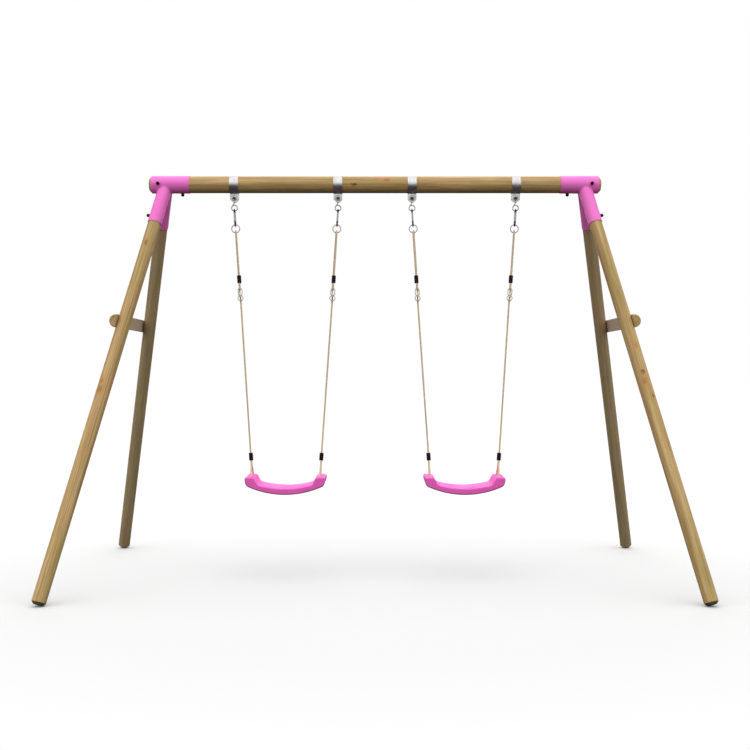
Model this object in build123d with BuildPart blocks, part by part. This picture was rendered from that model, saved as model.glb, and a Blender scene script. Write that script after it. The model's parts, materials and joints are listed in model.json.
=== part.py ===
"""Garden swing set: round timber A-frame, steel corner brackets and two rope-hung seats.

Millimetres. +X runs along the beam, -Y is the front, +Z is up, and the ground is Z = 0.
"""

from build123d import *
from math import atan2, cos, degrees, hypot, pi, radians, sin, sqrt, tan
import os

os.makedirs("parts", exist_ok=True)

# ---------------------------------------------------------------- driving dimensions
# Timber poles
beam_length = 2500
beam_dia = 92
leg_length = 2250
leg_dia = 70
leg_top = 98.6  # from the beam's axis to the leg's upper end, along the leg
leg_lean = 11.56  # outward lean of each end frame
leg_spread = 21.15  # each leg's angle from the middle line of its end frame
pole_chamfer = 12
brace_dia = 70  # half-round pole
brace_drop = 796  # down the end frame from the beam's axis
brace_overlap = 45  # past each leg's axis
brace_chamfer = 4

# Corner brackets
sleeve_length = 210
sleeve_wall = 2
socket_wall = 3
socket_reach = 248.5  # from the beam's axis to the socket's rim, along the leg
socket_inset = 77.5  # from the sleeve's outer end to the legs' plane
beam_overhang = 13  # beam that shows past each sleeve
bracket_fit = 0.15

# Bolts, screws and their covers
bolt_dia = 8
bolt_fit = 0.2  # round a shank, in metal
pilot_fit = 0.05  # round a shank, in timber
head_flats = 13
head_height = 5.3
nut_height = 6.5
washer_dia = 15.4
washer_thickness = 1.6
cover_bore = 15.9
cover_wall = 1.3
cover_height = 17
sleeve_bolt_inset = 41  # from either end of the sleeve
socket_screw_inset = 40  # above the socket's rim
bracket_screw_length = 50
brace_screw_length = 75
brace_screw_sink = 12  # counterbore below the crown of the brace
counterbore_dia = 20
screw_hole_margin = 2

# Hangers on the beam
swing_offset = 493  # from the middle of the beam to the middle of each seat
hanger_spacing = 575
strap_width = 49
strap_thickness = 2.5
strap_fit = 0.1
strap_bend = 5  # centre-line radius where the strap turns down into its ears
ear_gap = 8.6
ear_drop = 97.3  # from the beam's axis to the tip of the ears
ear_bolt_drop = 75
ear_tip_width = 18
ear_chamfer_height = 15.5
bush_dia = 14
bush_end_gap = 0.1
strap_screw_dia = 5
strap_screw_length = 40
strap_screw_head_dia = 9.5
strap_screw_head_height = 2.6

# S-hooks
hook_wire = 6.5
hook_upper_radius = 12  # to the middle of the wire
hook_lower_radius = 15.75
hook_eye_distance = 52.25
hook_upper_turn = 282
hook_lower_turn = 298
hang_gap = 0.3  # between pieces that hang on each other
seat_gap = 0.1  # between pieces that never move on each other

# Snap hooks
snap_wire = 8.5
snap_inner_length = 84
snap_radius = 16.5  # to the middle of the wire
gate_dia = 8.4
gate_pin_dia = 3
gate_pin_rise = 5  # above the end of the lower bend
gate_end_gap = 0.5
gate_nose_drop = 2.5  # of the hook's nose below the upper bend
tongue_thickness = 3.4
tongue_height = 3.5  # above the pin
tongue_sink = 1
tongue_width = 7
slot_side_gap = 0.2
slot_top_gap = 3

# Rings
ring_outer_dia = 50
ring_wire = 6

# Ropes
rope_dia = 10
rope_lean = 3.86  # inwards, from the vertical

# Crimped sleeves on the ropes
ferrule_dia = 23.6
ferrule_length = 44
ferrule_fit = 0.25
ferrule_round = 2.5
strand_spacing = 11.2  # between the two strands in a crimped sleeve
upper_ferrule_z = -382  # the middle of each one, along its rope from the swing's axis
lower_ferrule_z = -1368
adjuster_x = -2
adjuster_y = -11.6

# Rope-length adjusters: an upper slot and a lower ring of one bent wire
adjuster_wire = 4
adjuster_neck_z = -473
adjuster_slot_length = 41
adjuster_slot_radius = 11
adjuster_ring_radius = 14.2
weave_front = 13  # from the adjuster's plane out to the rope's front corner
weave_front_rise = 1  # above the neck
weave_low_back = 8.2
weave_low_drop = 20.1
weave_high_back = 18.6
weave_high_rise = 32.1
weave_turn = 15  # centre-line radii where the rope bends
weave_front_turn = 8.5
eye_slack = 0.5  # of the rope's eye round the adjuster's top wire

# Runs of the rope
ferrule_tail = 4  # of rope left inside a crimped sleeve's far end
ferrule_lead = 6  # of straight rope below the lower sleeve
fork_turn = 25
hole_turn = 20
hole_lead = 7  # of straight rope above the seat's end block
saddle_turn = 12
ferrule_turn = 60
saddle_drop = 48.5  # from the top of the end block to the rope below the saddle
strand_lean_x = 2  # sideways, so that the two upper strands lie apart

# Seats
seat_depth = 196
seat_tilt = 1.3  # the back edge is the higher one
seat_drop = 1531.4  # from the swing's axis to the middle of the sitting surface
seat_thickness = 34
seat_half_width = 220.5
seat_bottom_half_width = 209.5
seat_bottom_rise = 46.5  # of the underside from its middle to its end
seat_side_foot = 34  # above the middle of the sitting surface
block_height = 61
block_inner_top = 171
block_inner_foot = 148
block_foot_rise = 20.5
seat_wall = 5
seat_open_drop = 5.5
seat_corner_round = 9
block_edge_round = 3
rib_thickness = 3
rib_positions = (-150, -100, -50, 0, 50, 100, 150)
rib_foot_gap = 3
rope_hole_spacing = 104
rope_hole_fit = 0.6
saddle_half_width = 8
saddle_round = 7

# ---------------------------------------------------------------- worked-out places
lean = radians(leg_lean)
spread = radians(leg_spread)
leg_fall = cos(lean) * cos(spread)
foot_face_radius = leg_dia / 2 - pole_chamfer
beam_z = (leg_top + leg_length) * leg_fall + foot_face_radius * sqrt(1 - leg_fall**2)
sleeve_outer_x = beam_length / 2 - beam_overhang
end_x = sleeve_outer_x - socket_inset
sleeve_radius = beam_dia / 2 + bracket_fit + sleeve_wall
socket_radius = leg_dia / 2 + bracket_fit + socket_wall
brace_leg_y = brace_drop * tan(spread)
brace_length = 2 * (brace_leg_y + brace_overlap)
shank_hole = bolt_dia / 2 + bolt_fit
pilot_hole = bolt_dia / 2 + pilot_fit

hook_radius = hook_wire / 2
ear_bolt_z = beam_z - ear_bolt_drop
hook_upper_z = ear_bolt_z + bush_dia / 2 + seat_gap - (hook_upper_radius - hook_radius)
hook_lower_z = hook_upper_z - hook_eye_distance
pivot_z = hook_lower_z - hook_lower_radius
seat_top_z = pivot_z - seat_drop

MIDDLE = (Align.CENTER, Align.CENTER, Align.CENTER)
UPWARD = (Align.CENTER, Align.CENTER, Align.MIN)
DOWNWARD = (Align.CENTER, Align.CENTER, Align.MAX)
SIDES = {"left": -1, "right": 1}
FACES = {"front": -1, "rear": 1}


def save(piece, name):
    """Labels a finished piece and writes its STEP file."""
    piece.label = name
    export_step(piece, f"parts/{name}.step")


def frame_normal(side):
    """Outward normal of an end frame."""
    return Vector(side * cos(lean), 0, sin(lean))


def frame_down(side):
    """Direction down the middle line of an end frame."""
    return Vector(side * sin(lean), 0, -cos(lean))


def leg_direction(side, face):
    return frame_down(side) * cos(spread) + Vector(0, face * sin(spread), 0)


def frame_top(side):
    """Where the legs' axes meet the beam's axis."""
    return Vector(side * end_x, 0, beam_z)


def leg_plane(side, face, distance):
    """A plane across a leg, at a distance from the beam's axis. Its X points outwards."""
    direction = leg_direction(side, face)
    return Plane(frame_top(side) + direction * distance, x_dir=frame_normal(side), z_dir=direction)


def socket_plane(side, face):
    """A leg's plane at the beam's axis, turned so that no seam runs through the sockets' crossing."""
    direction = leg_direction(side, face)
    normal = frame_normal(side)
    return Plane(frame_top(side), x_dir=normal + direction.cross(normal), z_dir=direction)


def sleeve_bolt_x(side):
    return side * (sleeve_outer_x - sleeve_bolt_inset)


def sleeve_screw_x(side):
    return side * (sleeve_outer_x - sleeve_length + sleeve_bolt_inset)


def outward_plane(point, direction):
    return Plane(point, z_dir=direction)


# ---------------------------------------------------------------- beam
hanger_xs = {
    f"{side}_{place}": sign * swing_offset + hand * hanger_spacing / 2
    for side, sign in SIDES.items()
    for place, hand in (("outer", sign), ("inner", -sign))
}
strap_radius = beam_dia / 2 + strap_fit

with BuildPart() as beam:
    Cylinder(beam_dia / 2, beam_length, rotation=(0, 90, 0), align=MIDDLE)
    chamfer(beam.edges().filter_by(GeomType.CIRCLE), pole_chamfer)
    for sign in SIDES.values():
        with Locations((sleeve_bolt_x(sign), 0, 0)):
            Cylinder(pilot_hole, beam_dia, rotation=(90, 0, 0), mode=Mode.SUBTRACT)
        with Locations((sleeve_screw_x(sign), 0, -beam_dia / 2)):
            Cylinder(pilot_hole, bracket_screw_length, align=UPWARD, mode=Mode.SUBTRACT)
    for x in hanger_xs.values():
        with Locations((x, beam_dia / 2, 0)):
            Cylinder(
                strap_screw_dia / 2 + pilot_fit,
                strap_screw_length,
                rotation=(90, 0, 0),
                align=UPWARD,
                mode=Mode.SUBTRACT,
            )
with BuildPart() as placed_beam:
    with Locations((0, 0, beam_z)):
        add(beam.part)
save(placed_beam.part, "beam")

# ---------------------------------------------------------------- legs
socket_screw_at = socket_reach - socket_screw_inset
brace_screw_at = brace_drop / cos(spread)
bracket_screw_depth = bracket_screw_length - socket_wall - bracket_fit + screw_hole_margin
brace_screw_depth = brace_screw_length - (brace_dia / 2 - brace_screw_sink) + screw_hole_margin

for side, sign in SIDES.items():
    for face, hand in FACES.items():
        with BuildPart(leg_plane(sign, hand, leg_top)) as leg:
            Cylinder(leg_dia / 2, leg_length, align=UPWARD)
            chamfer(leg.edges().filter_by(GeomType.CIRCLE), pole_chamfer)
            for at, depth in (
                (socket_screw_at, bracket_screw_depth),
                (brace_screw_at, brace_screw_depth),
            ):
                with Locations((leg_dia / 2, 0, at - leg_top)):
                    Cylinder(
                        pilot_hole, depth, rotation=(0, -90, 0), align=UPWARD, mode=Mode.SUBTRACT
                    )
        save(leg.part, f"{side}_{face}_leg")

# ---------------------------------------------------------------- half-round braces
for side, sign in SIDES.items():
    normal = frame_normal(sign)
    middle = frame_top(sign) + frame_down(sign) * brace_drop + normal * (leg_dia / 2)
    across = Plane(middle, x_dir=normal, z_dir=(0, 1, 0))
    outer_face = Plane(middle, x_dir=(0, 1, 0), z_dir=normal)
    with BuildPart() as brace:
        with BuildSketch(across):
            with BuildLine():
                CenterArc((0, 0), brace_dia / 2, -90, 180)
                Line((0, brace_dia / 2), (0, -brace_dia / 2))
            make_face()
        extrude(amount=brace_length / 2, both=True)
        end_faces = brace.faces().sort_by(Axis.Y)
        end_arcs = (end_faces[0].edges() + end_faces[-1].edges()).filter_by(GeomType.CIRCLE)
        chamfer(end_arcs, brace_chamfer)
        with BuildSketch(outer_face):
            with Locations((-brace_leg_y, 0), (brace_leg_y, 0)):
                Circle(shank_hole)
        extrude(amount=brace_dia, mode=Mode.SUBTRACT)
        with BuildSketch(outer_face.offset(brace_dia / 2 - brace_screw_sink)):
            with Locations((-brace_leg_y, 0), (brace_leg_y, 0)):
                Circle(counterbore_dia / 2)
        extrude(amount=brace_dia, mode=Mode.SUBTRACT)
    save(brace.part, f"{side}_brace")

# ---------------------------------------------------------------- corner brackets
for side, sign in SIDES.items():
    sleeve_middle = Vector(sign * (sleeve_outer_x - sleeve_length / 2), 0, beam_z)
    along_beam = Plane(sleeve_middle, x_dir=(0, 1, 0), z_dir=(1, 0, 0))
    with BuildPart() as bracket:
        for hand in FACES.values():
            with BuildSketch(socket_plane(sign, hand)):
                Circle(socket_radius)
            extrude(amount=socket_reach)
        for hand in FACES.values():
            with BuildSketch(socket_plane(sign, hand)):
                Circle(leg_dia / 2 + bracket_fit)
            extrude(amount=socket_reach, mode=Mode.SUBTRACT)
        with BuildSketch(along_beam):
            Circle(sleeve_radius)
        extrude(amount=sleeve_length / 2, both=True)
        with BuildSketch(along_beam):
            Circle(beam_dia / 2 + bracket_fit)
        extrude(amount=sleeve_length / 2, both=True, mode=Mode.SUBTRACT)
        with BuildSketch(Plane((sleeve_bolt_x(sign), 0, beam_z), z_dir=(0, 1, 0))):
            Circle(shank_hole)
        extrude(amount=sleeve_radius, both=True, mode=Mode.SUBTRACT)
        with BuildSketch(Plane((sleeve_screw_x(sign), 0, beam_z), z_dir=(0, 0, -1))):
            Circle(shank_hole)
        extrude(amount=sleeve_radius, mode=Mode.SUBTRACT)
        for hand in FACES.values():
            start = frame_top(sign) + leg_direction(sign, hand) * socket_screw_at
            with BuildSketch(outward_plane(start, frame_normal(sign))):
                Circle(shank_hole)
            extrude(amount=socket_radius, mode=Mode.SUBTRACT)
    save(bracket.part, f"{side}_bracket")

# ---------------------------------------------------------------- bolts, screws and covers
# Each seat below is a plane on the face that a washer lies on, and its Z points out.
front_seats = [
    outward_plane((sleeve_bolt_x(s), -sleeve_radius, beam_z), (0, -1, 0)) for s in SIDES.values()
]
rear_seats = [
    outward_plane((sleeve_bolt_x(s), sleeve_radius, beam_z), (0, 1, 0)) for s in SIDES.values()
]
under_seats = [
    outward_plane((sleeve_screw_x(s), 0, beam_z - sleeve_radius), (0, 0, -1))
    for s in SIDES.values()
]
socket_seats = [
    outward_plane(
        frame_top(s) + leg_direction(s, h) * socket_screw_at + frame_normal(s) * socket_radius,
        frame_normal(s),
    )
    for s in SIDES.values()
    for h in FACES.values()
]
brace_seats = [
    outward_plane(
        frame_top(s)
        + frame_down(s) * brace_drop
        + frame_normal(s) * (leg_dia / 2 + brace_dia / 2 - brace_screw_sink)
        + Vector(0, h * brace_leg_y, 0),
        frame_normal(s),
    )
    for s in SIDES.values()
    for h in FACES.values()
]


def headed_screw(length, dia=bolt_dia):
    """A hex-headed screw whose washer face is at Z = washer_thickness."""
    with BuildPart() as screw:
        with BuildSketch(Plane.XY.offset(washer_thickness)):
            RegularPolygon(head_flats / 2, 6, major_radius=False)
        extrude(amount=head_height)
        with Locations((0, 0, washer_thickness)):
            Cylinder(dia / 2, length + washer_thickness, align=DOWNWARD)
    return screw.part


def at_seats(piece, seats):
    """Copies of a piece, one on each seat, as separate solids of one part."""
    with BuildPart() as group:
        with Locations(*[seat.location for seat in seats]):
            add(piece)
    return group.part


through_length = 2 * sleeve_radius + washer_thickness + nut_height + screw_hole_margin / 2
save(at_seats(headed_screw(through_length), front_seats), "sleeve_bolts")
save(at_seats(headed_screw(bracket_screw_length), under_seats + socket_seats), "bracket_screws")
save(at_seats(headed_screw(brace_screw_length), brace_seats), "brace_screws")

with BuildPart() as nut:
    with BuildSketch(Plane.XY.offset(washer_thickness)):
        RegularPolygon(head_flats / 2, 6, major_radius=False)
        Circle(bolt_dia / 2 + pilot_fit, mode=Mode.SUBTRACT)
    extrude(amount=nut_height)
save(at_seats(nut.part, rear_seats), "sleeve_nuts")

with BuildPart() as washer:
    with BuildSketch():
        Circle(washer_dia / 2)
        Circle(shank_hole, mode=Mode.SUBTRACT)
    extrude(amount=washer_thickness)
covered_seats = front_seats + rear_seats + under_seats + socket_seats
save(at_seats(washer.part, covered_seats + brace_seats), "washers")

cover_radius = cover_bore / 2 + cover_wall
with BuildPart() as cover:
    Cylinder(cover_radius, cover_height, align=UPWARD)
    fillet(cover.edges().group_by(Axis.Z)[-1], cover_radius - cover_wall)
    Cylinder(cover_bore / 2, cover_height / 2 + cover_wall, align=UPWARD, mode=Mode.SUBTRACT)
    Cylinder(bolt_dia / 2 + bolt_fit, cover_height - cover_wall, align=UPWARD, mode=Mode.SUBTRACT)
save(at_seats(cover.part, covered_seats), "bolt_covers")

# ---------------------------------------------------------------- straps round the beam
strap_middle = strap_radius + strap_thickness / 2
ear_middle = ear_gap / 2 + strap_thickness / 2
bend_y = ear_middle + strap_bend
bend_z = -sqrt((strap_middle + strap_bend) ** 2 - bend_y**2)
onto_circle = degrees(atan2(bend_z, bend_y))
bend_start = 180 + onto_circle

for name, x in hanger_xs.items():
    across = Plane((x, 0, beam_z), x_dir=(0, 1, 0), z_dir=(1, 0, 0))
    facing = Plane((x, 0, beam_z), x_dir=(1, 0, 0), z_dir=(0, -1, 0))
    with BuildPart() as strap:
        with BuildSketch(across):
            with BuildLine() as strap_line:
                CenterArc((0, 0), strap_middle, onto_circle, 180 - 2 * onto_circle)
                CenterArc((bend_y, bend_z), strap_bend, bend_start, 180 - bend_start)
                Line((ear_middle, bend_z), (ear_middle, -ear_drop))
                CenterArc((-bend_y, bend_z), strap_bend, 0, 180 - bend_start)
                Line((-ear_middle, bend_z), (-ear_middle, -ear_drop))
            trace(line_width=strap_thickness)
        extrude(amount=strap_width / 2, both=True)
        with BuildSketch(facing):
            for hand in (-1, 1):
                with BuildLine():
                    Polyline(
                        (hand * ear_tip_width / 2, -ear_drop),
                        (hand * strap_width / 2, -ear_drop + ear_chamfer_height),
                        (hand * strap_width, -ear_drop + ear_chamfer_height),
                        (hand * strap_width, -ear_drop),
                        close=True,
                    )
                make_face()
            with Locations((0, -ear_bolt_drop)):
                Circle(shank_hole)
        extrude(amount=beam_dia, both=True, mode=Mode.SUBTRACT)
        with BuildSketch(Plane((x, 0, beam_z), z_dir=(0, 1, 0))):
            Circle(strap_screw_dia / 2 + bolt_fit)
        extrude(amount=beam_dia, mode=Mode.SUBTRACT)
    save(strap.part, f"{name}_strap")

ear_face = ear_gap / 2 + strap_thickness
ear_front_seats = [
    outward_plane((x, -ear_face, ear_bolt_z), (0, -1, 0)) for x in hanger_xs.values()
]
ear_rear_seats = [outward_plane((x, ear_face, ear_bolt_z), (0, 1, 0)) for x in hanger_xs.values()]
strap_screw_seats = [
    outward_plane((x, strap_radius + strap_thickness, beam_z), (0, 1, 0))
    for x in hanger_xs.values()
]

with BuildPart() as ear_bolt:
    with BuildSketch():
        RegularPolygon(head_flats / 2, 6, major_radius=False)
    extrude(amount=head_height)
    Cylinder(bolt_dia / 2, 2 * ear_face + nut_height + screw_hole_margin, align=DOWNWARD)
save(at_seats(ear_bolt.part, ear_front_seats), "hanger_bolts")

with BuildPart() as ear_nut:
    with BuildSketch():
        RegularPolygon(head_flats / 2, 6, major_radius=False)
        Circle(bolt_dia / 2 + pilot_fit, mode=Mode.SUBTRACT)
    extrude(amount=nut_height)
save(at_seats(ear_nut.part, ear_rear_seats), "hanger_nuts")

with BuildPart() as bushes:
    with Locations(*[(x, 0, ear_bolt_z) for x in hanger_xs.values()]):
        Cylinder(bush_dia / 2, ear_gap - 2 * bush_end_gap, rotation=(90, 0, 0))
        Cylinder(bolt_dia / 2 + pilot_fit, ear_gap, rotation=(90, 0, 0), mode=Mode.SUBTRACT)
save(bushes.part, "hanger_bushes")

with BuildPart() as strap_screw:
    Cylinder(strap_screw_head_dia / 2, strap_screw_head_height, align=UPWARD)
    fillet(strap_screw.edges().group_by(Axis.Z)[-1], strap_screw_head_height / 2)
    Cylinder(strap_screw_dia / 2, strap_screw_length, align=DOWNWARD)
save(at_seats(strap_screw.part, strap_screw_seats), "strap_screws")

# ---------------------------------------------------------------- S-hooks
eye_sum = hook_upper_radius + hook_lower_radius
cross_angle = degrees(atan2(eye_sum, sqrt(hook_eye_distance**2 - eye_sum**2)))
for name, x in hanger_xs.items():
    facing = Plane((x, 0, hook_upper_z), x_dir=(1, 0, 0), z_dir=(0, -1, 0))
    with BuildPart() as hook:
        with BuildLine(facing) as hook_line:
            upper = CenterArc((0, 0), hook_upper_radius, -cross_angle, hook_upper_turn)
            lower = CenterArc(
                (0, -hook_eye_distance), hook_lower_radius, 180 - cross_angle, hook_lower_turn
            )
            Line(upper @ 0, lower @ 0)
        with BuildSketch(Plane(upper @ 1, z_dir=upper % 1)):
            Circle(hook_radius)
        sweep()
    save(hook.part, f"{name}_hook")

# ---------------------------------------------------------------- pieces on a rope's line
# They are made with the swing's axis at the origin and the rope running down along -Z,
# then placed on each of the four leaning lines.
rope_planes = {}
for side, sign in SIDES.items():
    for place, hand in (("outer", sign), ("inner", -sign)):
        tilt = hand * radians(rope_lean)
        rope_planes[f"{side}_{place}"] = Plane(
            (hanger_xs[f"{side}_{place}"], 0, pivot_z),
            x_dir=(cos(tilt), 0, -sin(tilt)),
            z_dir=(sin(tilt), 0, cos(tilt)),
        )

# Snap hook: a bent wire, open at the back where the gate closes it
snap_top = hook_radius + hang_gap + snap_wire / 2
snap_bottom = hook_radius + hang_gap - snap_inner_length - snap_wire / 2
upper_bend_z = snap_top - snap_radius
lower_bend_z = snap_bottom + snap_radius
nose_z = upper_bend_z - gate_nose_drop
pin_z = lower_bend_z + gate_pin_rise
with BuildPart() as snap_hook:
    with BuildLine(Plane.YZ):
        nose = Line((snap_radius, nose_z), (snap_radius, upper_bend_z))
        CenterArc((0, upper_bend_z), snap_radius, 0, 180)
        Line((-snap_radius, upper_bend_z), (-snap_radius, lower_bend_z))
        CenterArc((0, lower_bend_z), snap_radius, 180, 180)
    with BuildSketch(Plane((0, snap_radius, nose_z))):
        Circle(snap_wire / 2)
    sweep()
    with BuildSketch(Plane.YZ):
        with Locations((snap_radius, lower_bend_z - tongue_sink)):
            Rectangle(
                tongue_width,
                gate_pin_rise + tongue_sink,
                align=(Align.CENTER, Align.MIN),
            )
        with Locations((snap_radius, pin_z)):
            Circle(tongue_height)
    extrude(amount=tongue_thickness / 2, both=True)
    with Locations((0, snap_radius, pin_z)):
        Cylinder(gate_pin_dia / 2 + pilot_fit, snap_wire, rotation=(0, 90, 0), mode=Mode.SUBTRACT)

gate_radius = gate_dia / 2
gate_top = nose_z - gate_end_gap
with BuildPart() as gate:
    with Locations((0, snap_radius, pin_z)):
        Cylinder(gate_radius, gate_top - pin_z, align=UPWARD)
        Sphere(gate_radius)
        with Locations((0, 0, tongue_height + slot_top_gap)):
            Box(
                tongue_thickness + 2 * slot_side_gap,
                snap_wire,
                snap_wire + tongue_height + slot_top_gap,
                align=DOWNWARD,
                mode=Mode.SUBTRACT,
            )
        Cylinder(gate_pin_dia / 2 + pilot_fit, snap_wire, rotation=(0, 90, 0), mode=Mode.SUBTRACT)

with BuildPart() as gate_pin:
    with Locations((0, snap_radius, pin_z)):
        Cylinder(gate_pin_dia / 2, snap_wire, rotation=(0, 90, 0))

# Ring
ring_radius = (ring_outer_dia - ring_wire) / 2
ring_top = hook_radius + hang_gap - snap_inner_length + hang_gap + ring_wire / 2
ring_z = ring_top - ring_radius
with BuildPart() as ring:
    with Locations((0, 0, ring_z)):
        Torus(ring_radius, ring_wire / 2, rotation=(90, 0, 0))

# Adjuster
facing = Plane((adjuster_x, adjuster_y, adjuster_neck_z), x_dir=(1, 0, 0), z_dir=(0, -1, 0))
slot_top = adjuster_slot_length - adjuster_slot_radius
with BuildPart() as adjuster:
    with BuildLine(facing) as slot_line:
        start = CenterArc((0, adjuster_slot_radius), adjuster_slot_radius, 180, 180)
        Line((adjuster_slot_radius, adjuster_slot_radius), (adjuster_slot_radius, slot_top))
        CenterArc((0, slot_top), adjuster_slot_radius, 0, 180)
        Line((-adjuster_slot_radius, slot_top), (-adjuster_slot_radius, adjuster_slot_radius))
    with BuildSketch(Plane(start @ 0, z_dir=start % 0)):
        Circle(adjuster_wire / 2)
    sweep()
    with Locations((adjuster_x, adjuster_y, adjuster_neck_z - adjuster_ring_radius)):
        Torus(adjuster_ring_radius, adjuster_wire / 2, rotation=(90, 0, 0))

# Crimped sleeve round two strands that lie one behind the other
with BuildPart() as ferrule:
    Cylinder(ferrule_dia / 2, ferrule_length)
    fillet(ferrule.edges().filter_by(GeomType.CIRCLE), ferrule_round)
    with BuildSketch(Plane.XY.offset(-ferrule_length / 2)):
        SlotCenterToCenter(strand_spacing, rope_dia + 2 * ferrule_fit, rotation=90)
    extrude(amount=ferrule_length, mode=Mode.SUBTRACT)

block_top_z = (block_height - seat_drop) / cos(radians(rope_lean))

# Rope: from the lower sleeve down through the seat's end block and up again, through the
# adjuster, over the ring, and back down round the adjuster's top into the upper sleeve.
strand = strand_spacing / 2
hole_y = rope_hole_spacing / 2
lower_end = lower_ferrule_z - ferrule_length / 2
fork_z = lower_end - ferrule_lead
under_z = block_top_z - saddle_drop
over_ring = (ring_wire + rope_dia) / 2 + seat_gap
ring_bend_z = ring_z - ring_radius + over_ring
eye_half = (adjuster_wire + rope_dia) / 2 + seat_gap + eye_slack
eye_z = adjuster_neck_z + adjuster_slot_length - eye_half
tail_z = upper_ferrule_z - ferrule_length / 2 - ferrule_tail / 2
eye_turn = eye_half / tan((pi / 2 + atan2(eye_half - strand, tail_z - eye_z)) / 2) * 0.99
ring_turn = over_ring * 0.985
rope_points = (
    (0, strand, lower_ferrule_z + ferrule_length / 2 - ferrule_tail / 2),
    (0, strand, fork_z),
    (0, hole_y, block_top_z + hole_lead),
    (0, hole_y, under_z),
    (0, -hole_y, under_z),
    (0, -hole_y, block_top_z + hole_lead),
    (0, -strand, fork_z),
    (adjuster_x, adjuster_y + weave_low_back, adjuster_neck_z - weave_low_drop),
    (adjuster_x, adjuster_y - weave_front, adjuster_neck_z + weave_front_rise),
    (strand_lean_x, adjuster_y + weave_high_back, adjuster_neck_z + weave_high_rise),
    (strand_lean_x, over_ring, ring_bend_z),
    (-strand_lean_x, -over_ring, ring_bend_z),
    (adjuster_x, adjuster_y + strand, upper_ferrule_z + ferrule_length / 2 + ferrule_tail),
    (adjuster_x, adjuster_y + strand, tail_z),
    (adjuster_x, adjuster_y + eye_half, eye_z),
    (adjuster_x, adjuster_y - eye_half, eye_z),
    (adjuster_x, adjuster_y - strand, tail_z),
    (adjuster_x, adjuster_y - strand, upper_ferrule_z + ferrule_length / 2 - ferrule_tail / 2),
)
rope_radii = (
    fork_turn,
    hole_turn,
    saddle_turn,
    saddle_turn,
    hole_turn,
    fork_turn,
    weave_turn,
    weave_front_turn,
    weave_turn,
    ring_turn,
    ring_turn,
    ferrule_turn,
    ferrule_turn,
    eye_turn,
    eye_turn,
    ferrule_turn,
)
with BuildPart() as rope:
    with BuildLine() as rope_line:
        FilletPolyline(*rope_points, radius=rope_radii)
    with BuildSketch(Plane(rope_points[0], z_dir=(0, 0, -1))):
        Circle(rope_dia / 2)
    sweep()
rope_length = rope_line.wire().length
print("rope radii", rope_radii)
print("rope length", round(rope_length, 1))
print("rope volume / (section x length)", rope.part.volume / (pi * rope_dia**2 / 4 * rope_length))

on_rope = {
    "snap_hook": (snap_hook.part, (0, 0, 0)),
    "gate": (gate.part, (0, 0, 0)),
    "ring": (ring.part, (0, 0, 0)),
    "rope": (rope.part, (0, 0, 0)),
    "adjuster": (adjuster.part, (0, 0, 0)),
    "upper_ferrule": (ferrule.part, (adjuster_x, adjuster_y, upper_ferrule_z)),
    "lower_ferrule": (ferrule.part, (0, 0, lower_ferrule_z)),
}
for piece, (shape, (x, y, z)) in on_rope.items():
    shapes = {"left": shape.mirror(Plane.YZ), "right": shape}
    for name, plane in rope_planes.items():
        side = name.split("_")[0]
        with BuildPart(plane) as placed:
            with Locations((SIDES[side] * x, y, z)):
                add(shapes[side])
        save(placed.part, f"{name}_{piece}")

for side in SIDES:
    pair = [rope_planes[f"{side}_outer"], rope_planes[f"{side}_inner"]]
    save(at_seats(gate_pin.part, pair), f"{side}_gate_pins")

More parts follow.
